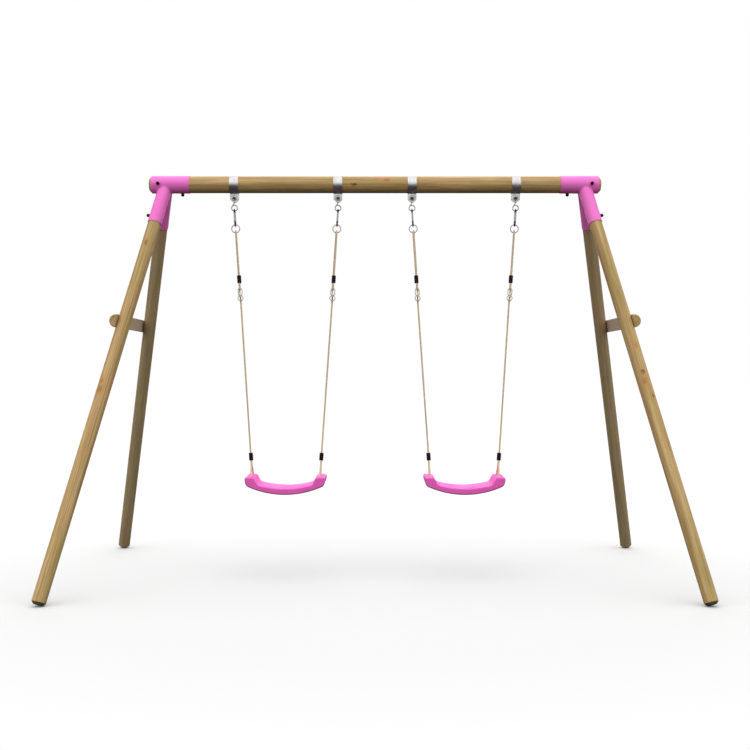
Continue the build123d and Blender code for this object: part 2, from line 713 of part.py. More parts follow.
# ---------------------------------------------------------------- seats
seat_lean = radians(seat_tilt)
side_line = (seat_half_width + seat_bottom_half_width) / 2 - seat_wall
for side, sign in SIDES.items():
    seat_middle = Vector(sign * swing_offset, 0, seat_top_z)
    up = Vector(0, -sin(seat_lean), cos(seat_lean))
    facing = Plane(seat_middle, x_dir=(1, 0, 0), z_dir=(0, -cos(seat_lean), -sin(seat_lean)))
    level = Plane(seat_middle, x_dir=(1, 0, 0), z_dir=up)

    with BuildSketch(facing) as outline:
        with BuildLine():
            top = [
                (-block_inner_foot, block_foot_rise),
                (0, 0),
                (block_inner_foot, block_foot_rise),
            ]
            bottom = [
                (-seat_bottom_half_width, seat_bottom_rise - seat_thickness),
                (0, -seat_thickness),
                (seat_bottom_half_width, seat_bottom_rise - seat_thickness),
            ]
            ThreePointArc(*top)
            ThreePointArc(*bottom)
            for hand in (-1, 1):
                Polyline(
                    (hand * block_inner_foot, block_foot_rise),
                    (hand * block_inner_top, block_height),
                    (hand * seat_half_width, block_height),
                    (hand * seat_half_width, seat_side_foot),
                    (hand * seat_bottom_half_width, seat_bottom_rise - seat_thickness),
                )
        make_face()
    with BuildSketch(facing) as hollow_outline:
        add(outline.sketch_local)
        offset(amount=-seat_wall, kind=Kind.INTERSECTION)

    with BuildPart() as hollow:
        for drop in (0, seat_open_drop):
            lowered = hollow_outline.sketch.moved(Location(up * -drop))
            extrude(lowered, amount=seat_depth / 2 - seat_wall, dir=facing.z_dir, both=True)
        with BuildSketch(level.offset(rib_foot_gap)):
            for x in rib_positions:
                with Locations((x, 0)):
                    Rectangle(rib_thickness, seat_depth)
            Rectangle(rib_positions[-1] - rib_positions[0], rib_thickness)
        extrude(amount=block_height, both=True, mode=Mode.SUBTRACT)

    with BuildPart() as seat:
        extrude(outline.sketch, amount=seat_depth / 2, dir=facing.z_dir, both=True)
        corners = [e for e in seat.edges() if abs(e.center().X - seat_middle.X) > side_line]
        upright = [e for e in corners if abs((e % 0.5).dot(facing.z_dir)) < 0.5]
        fillet([e for e in upright if abs((e % 0.5).X) < 0.9], seat_corner_round)
        fillet(seat.edges().group_by(Axis(seat_middle, up))[-1], block_edge_round)
        add(hollow.part, mode=Mode.SUBTRACT)
        for hand in (-1, 1):
            name = f"{side}_outer" if hand == sign else f"{side}_inner"
            plane = rope_planes[name]
            side_on = Plane(plane.origin, x_dir=(0, 1, 0), z_dir=plane.x_dir)
            bend_z_at = rope_points[3][2] + rope_dia / 2 + seat_gap
            saddle_height = block_top_z - seat_wall / 2 - bend_z_at
            with BuildSketch(side_on) as saddle:
                with Locations((0, bend_z_at)):
                    Rectangle(
                        rope_hole_spacing - rope_dia - 2 * seat_gap,
                        saddle_height,
                        align=(Align.CENTER, Align.MIN),
                    )
                fillet(saddle.vertices().group_by(Axis.Z)[0], saddle_round)
            extrude(amount=saddle_half_width, both=True)
            with BuildSketch(Plane(plane.from_local_coords((0, 0, block_top_z)), z_dir=plane.z_dir)):
                with Locations((0, rope_hole_spacing / 2), (0, -rope_hole_spacing / 2)):
                    Circle(rope_dia / 2 + rope_hole_fit)
            extrude(amount=4 * seat_wall, both=True, mode=Mode.SUBTRACT)
    save(seat.part, f"{side}_seat")

print("beam axis height", round(beam_z, 2), "swing axis height", round(pivot_z, 3))
print("ring pivot height", round(rope_planes["left_outer"].from_local_coords((0, 0, ring_top)).Z, 3))
print("gate pin", rope_planes["left_outer"].from_local_coords((0, snap_radius, pin_z)))
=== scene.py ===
import json
from math import cos, pi, radians, sin

import bmesh
import bpy
from mathutils import Matrix, Quaternion, Vector


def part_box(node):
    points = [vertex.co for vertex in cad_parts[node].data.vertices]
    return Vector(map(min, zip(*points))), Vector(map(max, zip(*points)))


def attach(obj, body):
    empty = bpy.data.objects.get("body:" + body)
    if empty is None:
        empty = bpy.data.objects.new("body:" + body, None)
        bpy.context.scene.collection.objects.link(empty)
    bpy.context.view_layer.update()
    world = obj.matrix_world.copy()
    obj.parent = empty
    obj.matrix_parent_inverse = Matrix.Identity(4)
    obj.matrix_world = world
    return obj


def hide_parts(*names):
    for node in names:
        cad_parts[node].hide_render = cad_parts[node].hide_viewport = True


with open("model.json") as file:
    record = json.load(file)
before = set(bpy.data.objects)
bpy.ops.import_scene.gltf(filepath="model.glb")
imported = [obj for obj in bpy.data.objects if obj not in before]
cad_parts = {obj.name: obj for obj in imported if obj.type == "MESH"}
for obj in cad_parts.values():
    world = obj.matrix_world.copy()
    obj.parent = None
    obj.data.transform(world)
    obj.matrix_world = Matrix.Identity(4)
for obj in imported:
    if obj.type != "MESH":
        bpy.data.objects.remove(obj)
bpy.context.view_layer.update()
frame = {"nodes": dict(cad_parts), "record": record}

SIDES = {"left": -1, "right": 1}
PLACES = ("outer", "inner")
FACES = {"front": -1, "rear": 1}
scene = bpy.context.scene
record = frame["record"]
mounts = {m["name"]: m for m in record["mounts"]}
joints = {j["name"]: j for j in record["behaviour"]["joints"]}


# ---------------------------------------------------------------- node helpers
class Nodes:
    """Adds nodes to one tree and links their inputs by name."""

    def __init__(self, tree):
        self.tree = tree

    def add(self, kind, **settings):
        node = self.tree.nodes.new(kind)
        for key, value in settings.items():
            setattr(node, key, value)
        return node

    def feed(self, value, socket):
        if isinstance(value, bpy.types.NodeSocket):
            self.tree.links.new(value, socket)
        else:
            socket.default_value = value

    def math(self, operation, first, second=None, third=None):
        node = self.add("ShaderNodeMath", operation=operation)
        for value, socket in zip((first, second, third), node.inputs):
            if value is not None:
                self.feed(value, socket)
        return node.outputs[0]

    def vector(self, operation, first, second=None, scale=None):
        node = self.add("ShaderNodeVectorMath", operation=operation)
        self.feed(first, node.inputs[0])
        if second is not None:
            self.feed(second, node.inputs[1])
        if scale is not None:
            self.feed(scale, node.inputs["Scale"])
        return node.outputs["Value" if operation == "LENGTH" else "Vector"]

    def split(self, vector):
        node = self.add("ShaderNodeSeparateXYZ")
        self.feed(vector, node.inputs[0])
        return node.outputs

    def join(self, x, y, z):
        node = self.add("ShaderNodeCombineXYZ")
        for value, socket in zip((x, y, z), node.inputs):
            self.feed(value, socket)
        return node.outputs[0]

    def noise(self, vector, scale, detail, roughness=0.5, output="Fac"):
        node = self.add("ShaderNodeTexNoise")
        self.feed(vector, node.inputs["Vector"])
        node.inputs["Scale"].default_value = scale
        node.inputs["Detail"].default_value = detail
        node.inputs["Roughness"].default_value = roughness
        return node.outputs[output]

    def along_grain(self, vector, share, scale, detail, roughness=0.5):
        """Noise drawn out along Z: the smaller the share, the longer its streaks."""
        drawn_out = self.vector("MULTIPLY", vector, (1.0, 1.0, share))
        return self.noise(drawn_out, scale, detail, roughness)

    def cells(self, vector, scale):
        node = self.add("ShaderNodeTexVoronoi")
        self.feed(vector, node.inputs["Vector"])
        node.inputs["Scale"].default_value = scale
        return node.outputs

    def remap(self, value, low, high, to_low=0.0, to_high=1.0, smooth=True):
        node = self.add("ShaderNodeMapRange")
        node.interpolation_type = "SMOOTHSTEP" if smooth else "LINEAR"
        for item, name in (
            (value, "Value"),
            (low, "From Min"),
            (high, "From Max"),
            (to_low, "To Min"),
            (to_high, "To Max"),
        ):
            self.feed(item, node.inputs[name])
        return node.outputs["Result"]

    def fade(self, value, start, end, strength=1.0):
        """The strength up to the start, nothing from the end on."""
        return self.remap(value, start, end, strength, 0.0)

    def threads(self, pattern, level, half_width, strength=1.0):
        """Thin lines where a pattern crosses a level."""
        away = self.math("ABSOLUTE", self.math("SUBTRACT", pattern, level))
        return self.fade(away, 0.0, half_width, strength)

    def ramp(self, value, stops):
        node = self.add("ShaderNodeValToRGB")
        self.feed(value, node.inputs[0])
        elements = node.color_ramp.elements
        while len(elements) > 1:
            elements.remove(elements[-1])
        for i, (position, color) in enumerate(stops):
            element = elements[0] if i == 0 else elements.new(position)
            element.position = position
            element.color = (*color, 1.0)
        return node.outputs["Color"]

    def mix(self, factor, first, second, blend="MIX"):
        node = self.add("ShaderNodeMix", data_type="RGBA", blend_type=blend)
        self.feed(factor, node.inputs[0])
        for color, socket in zip((first, second), node.inputs[6:8]):
            is_socket = isinstance(color, bpy.types.NodeSocket)
            self.feed(color if is_socket else (*color, 1.0), socket)
        return node.outputs[2]

    def shade(self, color, factor):
        """The colour multiplied by one factor."""
        return self.mix(1.0, color, self.join(factor, factor, factor), "MULTIPLY")

    def bump(self, height, strength, distance):
        node = self.add("ShaderNodeBump")
        self.feed(height, node.inputs["Height"])
        node.inputs["Strength"].default_value = strength
        node.inputs["Distance"].default_value = distance
        return node.outputs[0]


def new_group(name, inputs, outputs):
    """A shader node group with named sockets; returns its helper, inputs and output sockets."""
    tree = bpy.data.node_groups.new(name, "ShaderNodeTree")
    for title, kind, value in inputs:
        socket = tree.interface.new_socket(name=title, in_out="INPUT", socket_type=kind)
        if value is not None:
            socket.default_value = value
    for title, kind in outputs:
        tree.interface.new_socket(name=title, in_out="OUTPUT", socket_type=kind)
    nodes = Nodes(tree)
    return nodes, nodes.add("NodeGroupInput").outputs, nodes.add("NodeGroupOutput").inputs


def new_material(name):
    """A material with its Principled shader; returns the material, its helper and the shader."""
    material = bpy.data.materials.new(name)
    material.use_nodes = True
    nodes = Nodes(material.node_tree)
    return material, nodes, material.node_tree.nodes["Principled BSDF"]


def place_group(nodes, group, **inputs):
    node = nodes.add("ShaderNodeGroup", node_tree=group)
    for name, value in inputs.items():
        nodes.feed(value, node.inputs[name.replace("_", " ")])
    return node.outputs


def object_coordinates(nodes):
    return nodes.add("ShaderNodeTexCoord").outputs["Object"]


# ---------------------------------------------------------------- timber
SEED_SHIFT = (0.37, 0.71, 1.93)
GROWTH_RING = 0.0046
EARLY_END = 0.72
LATE_START = 0.86
PITH_WAVES = (6.0, 6.0, 0.9)
PITH_WANDER = 0.016
STREAK_TONES = (
    (0.28, (0.38, 0.260, 0.105)),
    (0.40, (0.53, 0.365, 0.150)),
    (0.52, (0.63, 0.440, 0.190)),
    (0.60, (0.67, 0.480, 0.225)),
    (0.72, (0.58, 0.330, 0.120)),
)
GREEN_TINT = (0.86, 0.95, 0.80)
DARK_RUN = (0.36, 0.205, 0.080)
HEARTWOOD = (0.49, 0.245, 0.085)
LATE_WOOD = (0.34, 0.19, 0.08)
SMALL_KNOT_HALO = (0.40, 0.20, 0.075)
SMALL_KNOT_CORE = (0.15, 0.085, 0.04)
CRACK_DARK = (0.10, 0.065, 0.035)
KNOT_HALO = (0.56, 0.30, 0.10)
SHALLOW_EYE = (0.44, 0.215, 0.06)
DEEP_EYE = (0.13, 0.085, 0.035)
FOOT_DARK_COLOR = (0.085, 0.072, 0.055)
WEATHERED = (0.36, 0.30, 0.215, 1.0)
SMALL_KNOT_CELLS = (8.0, 8.0, 2.6)
KNOT_STRETCH = (1.0, 1.0, 0.6)
KNOT_SWIRL = 2.0
KNOT_WAVES = 7.0
RING_RELIEF = 0.35
FIBRE_RELIEF = 0.65
CRACK_RELIEF = 1.6


def build_timber_group():
    """Turned softwood in a pole's own coordinates: metres, Z along the pole."""
    nodes, given, out = new_group(
        "turned timber",
        (
            ("Vector", "NodeSocketVector", None),
            ("Pith", "NodeSocketVector", (0.012, 0.006, 0.0)),
            ("Seed", "NodeSocketFloat", 0.0),
            ("Weathering And Shade", "NodeSocketFloat", 0.0),
            ("Weathered And Shaded Color", "NodeSocketColor", WEATHERED),
        ),
        (
            ("Color", "NodeSocketColor"),
            ("Roughness", "NodeSocketFloat"),
            ("Height", "NodeSocketFloat"),
        ),
    )
    shift = nodes.vector("SCALE", SEED_SHIFT, scale=given["Seed"])
    place = nodes.vector("ADD", given["Vector"], shift)

    # Growth rings about a wandering pith
    slow = nodes.vector("MULTIPLY", place, PITH_WAVES)
    wander = nodes.noise(slow, scale=1.6, detail=3.0, output="Color")
    drift = nodes.vector("SUBTRACT", wander, (0.5, 0.5, 0.5))
    drift = nodes.vector("SCALE", drift, scale=PITH_WANDER)
    inside = nodes.vector("ADD", nodes.vector("SUBTRACT", given["Vector"], given["Pith"]), drift)
    radius = nodes.vector("LENGTH", nodes.vector("MULTIPLY", inside, (1.0, 1.0, 0.0)))
    ring = nodes.math("FRACT", nodes.math("DIVIDE", radius, GROWTH_RING))
    early = nodes.remap(ring, 0.0, EARLY_END)
    late = nodes.fade(ring, LATE_START, 1.0)
    grain = nodes.math("MULTIPLY", early, late)

    # Streaks and fibres along the pole, then thin dark runs and redder heartwood lines
    fibre = nodes.along_grain(place, share=0.022, scale=520.0, detail=3.0, roughness=0.6)
    streak = nodes.along_grain(place, share=0.035, scale=58.0, detail=2.5, roughness=0.55)
    broad = nodes.along_grain(place, share=0.10, scale=19.0, detail=2.0)
    tone = nodes.ramp(streak, STREAK_TONES)
    green = nodes.mix(1.0, tone, GREEN_TINT, "MULTIPLY")
    tone = nodes.mix(nodes.remap(broad, 0.40, 0.62), tone, green)
    run = nodes.along_grain(place, share=0.006, scale=105.0, detail=1.5)
    run = nodes.threads(run, level=0.54, half_width=0.04, strength=0.85)
    tone = nodes.mix(run, tone, DARK_RUN)
    heart = nodes.along_grain(place, share=0.012, scale=46.0, detail=2.5, roughness=0.55)
    heart = nodes.threads(heart, level=0.47, half_width=0.035, strength=0.85)
    tone = nodes.mix(heart, tone, HEARTWOOD)
    late_tone = nodes.mix(0.5, tone, LATE_WOOD)
    color = nodes.mix(nodes.fade(grain, 0.05, 0.75, strength=0.55), tone, late_tone)
    fine = nodes.remap(fibre, 0.35, 0.65, to_low=0.84, to_high=1.08, smooth=False)
    color = nodes.shade(color, fine)

    # Small knots in sparse cells, each with a resin halo
    near = nodes.vector("MULTIPLY", place, SMALL_KNOT_CELLS)
    near = nodes.cells(near, 1.0)["Distance"]
    halo = nodes.fade(near, 0.08, 0.24, strength=0.45)
    core = nodes.fade(near, 0.03, 0.09, strength=0.6)
    color = nodes.mix(halo, color, SMALL_KNOT_HALO)
    color = nodes.mix(core, color, SMALL_KNOT_CORE)

    # Drying checks: thin dark cracks along the grain, in some stretches only
    split = nodes.along_grain(place, share=0.012, scale=34.0, detail=4.0, roughness=0.55)
    where = nodes.along_grain(place, share=0.35, scale=7.0, detail=1.0)
    crack = nodes.threads(split, level=0.5, half_width=0.006)
    crack = nodes.math("MULTIPLY", crack, nodes.remap(where, 0.54, 0.60))
    color = nodes.mix(nodes.math("MULTIPLY", crack, 0.8), color, CRACK_DARK)
    # Towards the weathered colour; on the rear legs this darkening is painted shade
    color = nodes.mix(given["Weathering And Shade"], color, nodes.shade(given["Weathered And Shaded Color"], fine))

    fibres = nodes.math("MULTIPLY", fibre, FIBRE_RELIEF)
    height = nodes.math("MULTIPLY_ADD", grain, RING_RELIEF, fibres)
    height = nodes.math("SUBTRACT", height, nodes.math("MULTIPLY", crack, CRACK_RELIEF))
    roughness = nodes.remap(fibre, 0.3, 0.7, to_low=0.62, to_high=0.80, smooth=False)
    nodes.feed(color, out["Color"])
    nodes.feed(roughness, out["Roughness"])
    nodes.feed(height, out["Height"])
    return nodes.tree


def build_knot_group():
    """One knot at a given place in a pole: an eye, orange when shallow, in a swirling halo."""
    nodes, given, out = new_group(
        "timber knot",
        (
            ("Color", "NodeSocketColor", None),
            ("Vector", "NodeSocketVector", None),
            ("Centre", "NodeSocketVector", None),
            ("Size", "NodeSocketFloat", 0.01),
            ("Depth", "NodeSocketFloat", 0.5),
        ),
        (("Color", "NodeSocketColor"),),
    )
    offset = nodes.vector("SUBTRACT", given["Vector"], given["Centre"])
    offset = nodes.vector("MULTIPLY", offset, KNOT_STRETCH)
    reach = nodes.math("DIVIDE", nodes.vector("LENGTH", offset), given["Size"])
    swirl = nodes.noise(given["Vector"], scale=110.0, detail=2.5, roughness=0.6)
    swirl = nodes.math("MULTIPLY_ADD", swirl, KNOT_SWIRL, -KNOT_SWIRL / 2)
    reach = nodes.math("ADD", reach, swirl)
    wave = nodes.math("SINE", nodes.math("MULTIPLY", reach, KNOT_WAVES))
    wave = nodes.remap(wave, -1.0, 1.0, to_low=0.35)
    halo = nodes.math("MULTIPLY", nodes.fade(reach, 0.8, 2.8, strength=0.6), wave)
    core = nodes.fade(reach, 0.35, 1.0, strength=0.9)
    eye = nodes.remap(given["Depth"], 0.3, 0.8)
    eye = nodes.mix(eye, SHALLOW_EYE, DEEP_EYE)
    color = nodes.mix(halo, given["Color"], KNOT_HALO)
    nodes.feed(nodes.mix(core, color, eye), out["Color"])
    return nodes.tree


timber_group = build_timber_group()
knot_group = build_knot_group()
# How far a pole has weathered, and towards which colour. The rear legs' darker, greyer colour is
# painted shade, not weathering
FRESH = (0.0, WEATHERED)
REAR_LEG_PAINTED_SHADE = (0.42, (0.35, 0.30, 0.215, 1.0))
BLEACHED = (0.65, (0.80, 0.655, 0.52, 1.0))
BLEACH_EDGE = 0.001
SAWN_END = 0.002
FOOT_DARK_REACH = 0.012
FIBRE_DEPTH = 0.0006
TIMBER_SPECULAR = 0.32


def pole_material(
    name, centre, axis, pith, seed, weathering_and_shade=FRESH, knots=(), darkened_foot=False, fresh_beyond=None
):
    """Timber for one pole, its grain along the pole's axis.

    Knots are (place, size, depth). The pole is fresh again beyond a distance from its centre.
    """
    material, nodes, shader = new_material(name)
    turn = Vector(axis).to_track_quat("Z", "Y")
    mapping = nodes.add("ShaderNodeMapping", vector_type="TEXTURE")
    nodes.feed(object_coordinates(nodes), mapping.inputs["Vector"])
    mapping.inputs["Location"].default_value = centre
    mapping.inputs["Rotation"].default_value = turn.to_euler()
    place = mapping.outputs[0]
    wood = place_group(nodes, timber_group, Vector=place, Pith=pith, Seed=seed)
    wood_node = wood["Color"].node
    wood_node.inputs["Weathering And Shade"].default_value = weathering_and_shade[0]
    if fresh_beyond:
        end = nodes.math("ABSOLUTE", nodes.split(place)[2])
        bleach = nodes.fade(end, fresh_beyond, fresh_beyond + BLEACH_EDGE, weathering_and_shade[0])
        nodes.feed(bleach, wood_node.inputs["Weathering And Shade"])
    wood_node.inputs["Weathered And Shaded Color"].default_value = weathering_and_shade[1]
    color = wood["Color"]
    for shadow_place, size, depth in knots:
        local = turn.inverted() @ (Vector(shadow_place) - Vector(centre))
        color = place_group(
            nodes, knot_group, Color=color, Vector=place, Centre=local, Size=size, Depth=depth
        )["Color"]
    # The last centimetre or so towards the foot is painted much darker
    if darkened_foot:
        height = nodes.math("ABSOLUTE", nodes.split(place)[2])
        foot_fade = nodes.fade(height, FOOT_DARK_REACH * 0.7, FOOT_DARK_REACH, strength=0.85)
        color = nodes.mix(foot_fade, color, FOOT_DARK_COLOR)
    nodes.feed(color, shader.inputs["Base Color"])
    nodes.feed(wood["Roughness"], shader.inputs["Roughness"])
    relief = nodes.bump(wood["Height"], strength=0.4, distance=FIBRE_DEPTH)
    nodes.feed(relief, shader.inputs["Normal"])
    shader.inputs["Specular IOR Level"].default_value = TIMBER_SPECULAR
    return material


def box_centre(node):
    low, high = (Vector(corner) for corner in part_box(node))
    return (low + high) / 2


def dress(node, material):
    """Gives a CAD node one material."""
    mesh = frame["nodes"][node].data
    mesh.materials.clear()
    mesh.materials.append(material)


KNOTS = {
    "beam": (
        ((-0.1141, -0.0457, 2.1501), 0.0135, 0.9),
        ((0.0110, -0.0375, 2.1819), 0.0110, 0.35),
        ((0.0662, -0.0406, 2.1769), 0.0150, 0.45),
    ),
    "left_front_leg": (
        ((-1.2345, -0.1715, 1.8160), 0.0140, 0.55),
        ((-1.3922, -0.4200, 1.1557), 0.0080, 0.9),
        ((-1.3966, -0.4638, 1.0699), 0.0130, 0.4),
        ((-1.3994, -0.4822, 1.0277), 0.0150, 0.45),
        ((-1.4494, -0.5265, 0.8818), 0.0100, 0.2),
    ),
    "right_front_leg": (
        ((1.3515, -0.3930, 1.2543), 0.0120, 0.35),
        ((1.3736, -0.4480, 1.1159), 0.0130, 0.7),
        ((1.3791, -0.4664, 1.0684), 0.0150, 0.4),
        ((1.4136, -0.4939, 0.9923), 0.0085, 0.9),
    ),
}
BEAM_PITH = (0.016, -0.010, 0)
LEG_PITH = (0.013, -0.009, 0)
BRACE_PITH = (0.01, 0.02, 0)
BEAM_SEED = 1.0
SEED_STEP = 1.37
beam_timber = pole_material(
    "beam timber", box_centre("beam"), (1, 0, 0), BEAM_PITH, BEAM_SEED, knots=KNOTS["beam"]
)
dress("beam", beam_timber)
seed = 2.0
for side in SIDES:
    for face in FACES:
        foot = mounts[f"{side}_{face}_foot"]
        # The rear legs get a darker, greyer copy of the timber: painted shade for legs that face
        # away from the light
        timber = pole_material(
            f"{side} {face} leg timber",
            foot["pos_m"],
            foot["axis"],
            LEG_PITH,
            seed,
            REAR_LEG_PAINTED_SHADE if face == "rear" else FRESH,
            KNOTS.get(f"{side}_{face}_leg", ()),
            True,
        )
        dress(f"{side}_{face}_leg", timber)
        seed += SEED_STEP
    centre = box_centre(f"{side}_brace")
    half_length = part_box(f"{side}_brace")[1][1] - centre.y
    timber = pole_material(
        f"{side} brace timber",
        centre,
        (0, 1, 0),
        BRACE_PITH,
        seed,
        BLEACHED,
        fresh_beyond=half_length - SAWN_END,
    )
    dress(f"{side}_brace", timber)
    seed += SEED_STEP


# ---------------------------------------------------------------- metals, plastics and rope
PINK = (0.985, 0.22, 0.685)
DULL_PINK = (0.955, 0.20, 0.645)
SEAT_PINK = (0.95, 0.15, 0.58)
DULL_SEAT_PINK = (0.90, 0.13, 0.54)
SEAT_RIM_PAINTED_SHADE = (0.05, 0.012, 0.028)
BLACK = (0.0045, 0.0045, 0.0045)
DUSTY_BLACK = (0.008, 0.0075, 0.0075)
BEND_DARK = (0.012, 0.012, 0.012)
STRAP_ZINC = ((0.49, 0.485, 0.475), (0.36, 0.355, 0.35))
WIRE_ZINC = ((0.46, 0.455, 0.45), (0.30, 0.295, 0.29))
ADJUSTER_ZINC = ((0.34, 0.325, 0.315), (0.20, 0.19, 0.18))
SNAP_ZINC = ((0.36, 0.355, 0.35), (0.23, 0.225, 0.22))
SNAP_BENDS = (1.952, 1.9995)
BEND_DARK_EDGE = 0.002
WARM_ROPE = (0.88, 0.645, 0.39)
PALE_ROPE = (0.74, 0.62, 0.43)
COAT_RELIEF = 0.0003
STEEL_RELIEF = 0.0002
ROPE_RELIEF = 0.0004
ROPE_SPECULAR = 0.25


def build_scuff_group():
    """Faint rubbed patches and dust for smooth finishes, as masks over Object coordinates."""
    nodes, given, out = new_group(
        "handling marks",
        (("Vector", "NodeSocketVector", None),),
        (
            ("Cloud", "NodeSocketFloat"),
            ("Speckle", "NodeSocketFloat"),
            ("Grain", "NodeSocketFloat"),
        ),
    )
    place = given["Vector"]
    cloud = nodes.noise(place, scale=14.0, detail=4.0, roughness=0.6)
    speckle = nodes.noise(place, scale=260.0, detail=2.0, roughness=0.6)
    nodes.feed(nodes.remap(cloud, 0.35, 0.7), out["Cloud"])
    nodes.feed(nodes.remap(speckle, 0.62, 0.74), out["Speckle"])
    nodes.feed(nodes.noise(place, scale=900.0, detail=1.0, roughness=0.4), out["Grain"])
    return nodes.tree


scuff_group = build_scuff_group()


def smooth_finish(name, color, darker, roughness, rougher, bump, specular, painted_shade=None):
    """A smooth coat or moulding whose colour and gloss shift a little over its surface."""
    material, nodes, shader = new_material(name)
    marks = place_group(nodes, scuff_group, Vector=object_coordinates(nodes))
    tint = nodes.mix(nodes.math("MULTIPLY", marks["Cloud"], 0.6), color, darker)
    if painted_shade:
        # Painted shade: a dark line along the rounded lower edges, front and rear, where they turn
        # down away from the light
        facing = nodes.split(nodes.add("ShaderNodeTexCoord").outputs["Normal"])
        rim = nodes.remap(nodes.math("ABSOLUTE", facing[1]), 0.25, 0.45)
        rim = nodes.math("MULTIPLY", rim, nodes.fade(facing[2], -0.36, -0.14))
        tint = nodes.mix(rim, tint, painted_shade)
    nodes.feed(tint, shader.inputs["Base Color"])
    worn = nodes.math("MAXIMUM", marks["Cloud"], marks["Speckle"])
    nodes.feed(nodes.remap(worn, 0.0, 1.0, roughness, rougher), shader.inputs["Roughness"])
    nodes.feed(nodes.bump(marks["Grain"], bump, COAT_RELIEF), shader.inputs["Normal"])
    shader.inputs["Specular IOR Level"].default_value = specular
    return material


powder = smooth_finish(
    "pink powder coat", PINK, DULL_PINK, roughness=0.42, rougher=0.54, bump=0.14, specular=0.14
)
seat_plastic = smooth_finish(
    "pink seat plastic",
    SEAT_PINK,
    DULL_SEAT_PINK,
    roughness=0.5,
    rougher=0.64,
    bump=0.22,
    specular=0.08,
    painted_shade=SEAT_RIM_PAINTED_SHADE,
)
black = smooth_finish(
    "black moulded plastic",
    BLACK,
    DUSTY_BLACK,
    roughness=0.42,
    rougher=0.6,
    bump=0.15,
    specular=0.12,
)


def steel_finish(name, tones, roughness, rougher, spangle_scale, dark_heights=None):
    """Zinc-coated steel: crystals of slightly different tone and gloss, with dull patches.

    An optional pair of heights paints the metal nearly black below the first and above the second,
    at the bends.
    """
    light, dark = tones
    material, nodes, shader = new_material(name)
    place = object_coordinates(nodes)
    marks = place_group(nodes, scuff_group, Vector=place)
    crystal = nodes.split(nodes.cells(place, spangle_scale)["Color"])[0]
    tint = nodes.mix(crystal, light, dark)
    tint = nodes.mix(nodes.math("MULTIPLY", marks["Cloud"], 0.35), tint, dark)
    if dark_heights:
        height = nodes.split(place)[2]
        low, high = dark_heights
        bend_fade = nodes.math(
            "MAXIMUM",
            nodes.fade(height, low - BEND_DARK_EDGE, low + BEND_DARK_EDGE),
            nodes.remap(height, high - BEND_DARK_EDGE, high + BEND_DARK_EDGE),
        )
        tint = nodes.mix(bend_fade, tint, BEND_DARK)
    nodes.feed(tint, shader.inputs["Base Color"])
    gloss = nodes.math("MULTIPLY_ADD", marks["Cloud"], 0.5, nodes.math("MULTIPLY", crystal, 0.5))
    nodes.feed(nodes.remap(gloss, 0.0, 1.0, roughness, rougher), shader.inputs["Roughness"])
    relief = nodes.bump(marks["Grain"], strength=0.1, distance=STEEL_RELIEF)
    nodes.feed(relief, shader.inputs["Normal"])
    shader.inputs["Metallic"].default_value = 1.0
    return material


galvanised = steel_finish(
    "galvanised strap steel", STRAP_ZINC, roughness=0.36, rougher=0.50, spangle_scale=210.0
)
bright = steel_finish(
    "zinc wire", WIRE_ZINC, roughness=0.22, rougher=0.36, spangle_scale=500.0
)
adjuster_steel = steel_finish(
    "dull adjuster wire", ADJUSTER_ZINC, roughness=0.26, rougher=0.4, spangle_scale=500.0
)
snap_steel = steel_finish(
    "polished snap hook steel",
    SNAP_ZINC,
    roughness=0.12,
    rougher=0.24,
    spangle_scale=700.0,
    dark_heights=SNAP_BENDS,
)


def rope_finish():
    """Laid fibre rope: fine filaments, warmer and paler by turns along its length."""
    material, nodes, shader = new_material("laid rope fibre")
    place = object_coordinates(nodes)
    filament = nodes.along_grain(place, share=0.22, scale=1900.0, detail=2.0, roughness=0.6)
    slow = nodes.noise(place, scale=22.0, detail=2.0)
    tint = nodes.mix(nodes.remap(slow, 0.35, 0.65), WARM_ROPE, PALE_ROPE)
    fine = nodes.remap(filament, 0.3, 0.7, to_low=0.78, to_high=1.10, smooth=False)
    tint = nodes.shade(tint, fine)
    roughness = nodes.remap(filament, 0.3, 0.7, to_low=0.62, to_high=0.85)
    nodes.feed(tint, shader.inputs["Base Color"])
    nodes.feed(roughness, shader.inputs["Roughness"])
    relief = nodes.bump(filament, strength=0.5, distance=ROPE_RELIEF)
    nodes.feed(relief, shader.inputs["Normal"])
    shader.inputs["Specular IOR Level"].default_value = ROPE_SPECULAR
    return material


rope_fibre = rope_finish()

for name in frame["nodes"]:
    if name.endswith("_strap"):
        dress(name, galvanised)
    elif name.endswith(("_snap_hook", "_gate", "_gate_pins")):
        dress(name, snap_steel)
    elif name.endswith("_adjuster"):
        dress(name, adjuster_steel)
    elif name.endswith(("_hook", "_ring")):
        dress(name, bright)
    elif name.endswith("_ferrule") or name in ("bolt_covers", "hanger_bushes"):
        dress(name, black)
    elif name.endswith("_seat"):
        dress(name, seat_plastic)
    elif name.endswith("_bracket"):
        dress(name, powder)
    elif name.endswith("_rope"):
        dress(name, rope_fibre)
    elif name.endswith(("bolts", "nuts", "screws")) or name == "washers":
        dress(name, bright)


# ---------------------------------------------------------------- building pieces
SAME_PLACE = 1e-6


def finish_piece(name, shape, material, body, replaces=()):
    """Turns a bmesh into a piece that rides on a body."""
    bmesh.ops.remove_doubles(shape, verts=shape.verts, dist=SAME_PLACE)
    bmesh.ops.recalc_face_normals(shape, faces=shape.faces)
    mesh = bpy.data.meshes.new(name)
    shape.to_mesh(mesh)
    shape.free()
    return place_piece(name, mesh, material, body, replaces)


def place_piece(name, mesh, material, body, replaces=()):
    """Makes a mesh a piece that rides on a body, in the place of any CAD nodes it replaces."""
    mesh.materials.clear()
    mesh.materials.append(material)
    piece = bpy.data.objects.new(name, mesh)
    scene.collection.objects.link(piece)
    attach(piece, body)
    if replaces:
        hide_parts(*replaces)
    return piece


